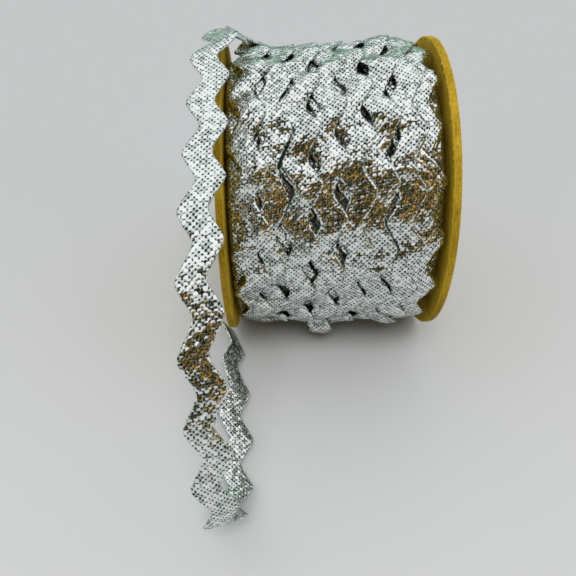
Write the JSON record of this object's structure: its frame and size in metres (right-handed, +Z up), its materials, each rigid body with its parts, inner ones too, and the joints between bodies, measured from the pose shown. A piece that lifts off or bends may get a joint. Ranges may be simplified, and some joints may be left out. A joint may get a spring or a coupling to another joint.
{
  "type": "roll of ric rac on a board spool",
  "caption": "Silver zigzag braid wound between two round board discs, with one loose end that crosses a disc, hangs in an arc and folds back along the table.",
  "frame": {"origin": "on the table, under the middle of the box of the roll and its loose end", "axes": "+X along the spool's axis, away from the disc that the loose end crosses; -Y towards the loose end's arc; +Z up"},
  "size_m": [0.0798, 0.1652, 0.109],
  "materials": {
    "board": "die-cut kraft board, matte, fibrous edge",
    "braid": "plaited metallic silver yarn"
  },
  "bodies": {
    "root": {"flange_left": "board", "flange_right": "board", "winding": "braid", "loose_end": "braid"}
  },
  "joints": []
}
